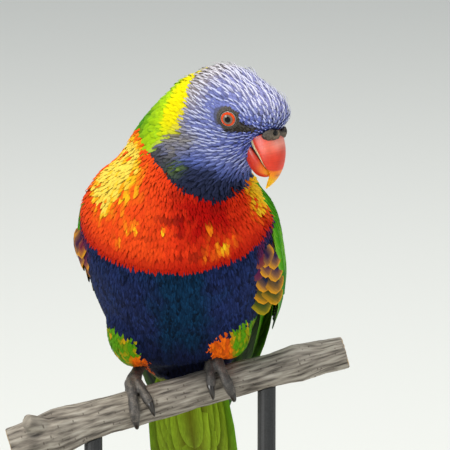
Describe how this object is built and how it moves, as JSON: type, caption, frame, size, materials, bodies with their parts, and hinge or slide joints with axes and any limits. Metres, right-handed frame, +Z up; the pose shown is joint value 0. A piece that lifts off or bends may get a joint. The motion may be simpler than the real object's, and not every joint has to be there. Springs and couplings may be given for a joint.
{
  "type": "rainbow lorikeet",
  "caption": "Life-size rainbow lorikeet with a blue hood and folded green wings, its head turned to its left, gripping a tilted cut branch on a plain two-rod stand.",
  "frame": {"origin": "centre of the underside of the stand's base", "axes": "+Z is up, the bird's breast faces -Y, and the bird's left side is towards +X"},
  "size_m": [0.1195, 0.1619, 0.2267],
  "materials": {
    "breast_plumage": "soft feathers, red to orange over a navy belly",
    "nape_plumage": "soft feathers, yellow collar to green",
    "hood_plumage": "narrow feathers with pale shafts",
    "green_plumage": "smooth vanes with a soft sheen",
    "thigh_plumage": "soft feathers, green with yellow",
    "bare_skin": "satin bare skin",
    "bill": "smooth horn, semi-gloss",
    "eye": "wet gloss",
    "foot_scales": "matt grey scales",
    "claw": "dark horn, semi-gloss",
    "bark": "weathered bark, matt",
    "stand_wood": "oiled, satin",
    "stand_steel": "satin black"
  },
  "bodies": {
    "root": {"torso": "breast_plumage", "neck": "nape_plumage", "head": "hood_plumage", "cere": "bare_skin", "bill_upper": "bill", "bill_lower": "bill", "eye_left": "eye", "eye_right": "eye", "wing_left": "green_plumage", "wing_right": "green_plumage", "tail": "green_plumage", "thigh_left": "thigh_plumage", "thigh_right": "thigh_plumage", "foot_left": "foot_scales", "foot_right": "foot_scales", "claw_left_inner_front": "claw", "claw_left_outer_front": "claw", "claw_left_outer_back": "claw", "claw_left_inner_back": "claw", "claw_right_inner_front": "claw", "claw_right_outer_front": "claw", "claw_right_outer_back": "claw", "claw_right_inner_back": "claw", "perch": "bark", "stand_base": "stand_wood", "stand_rod_left": "stand_steel", "stand_rod_right": "stand_steel"}
  },
  "joints": []
}
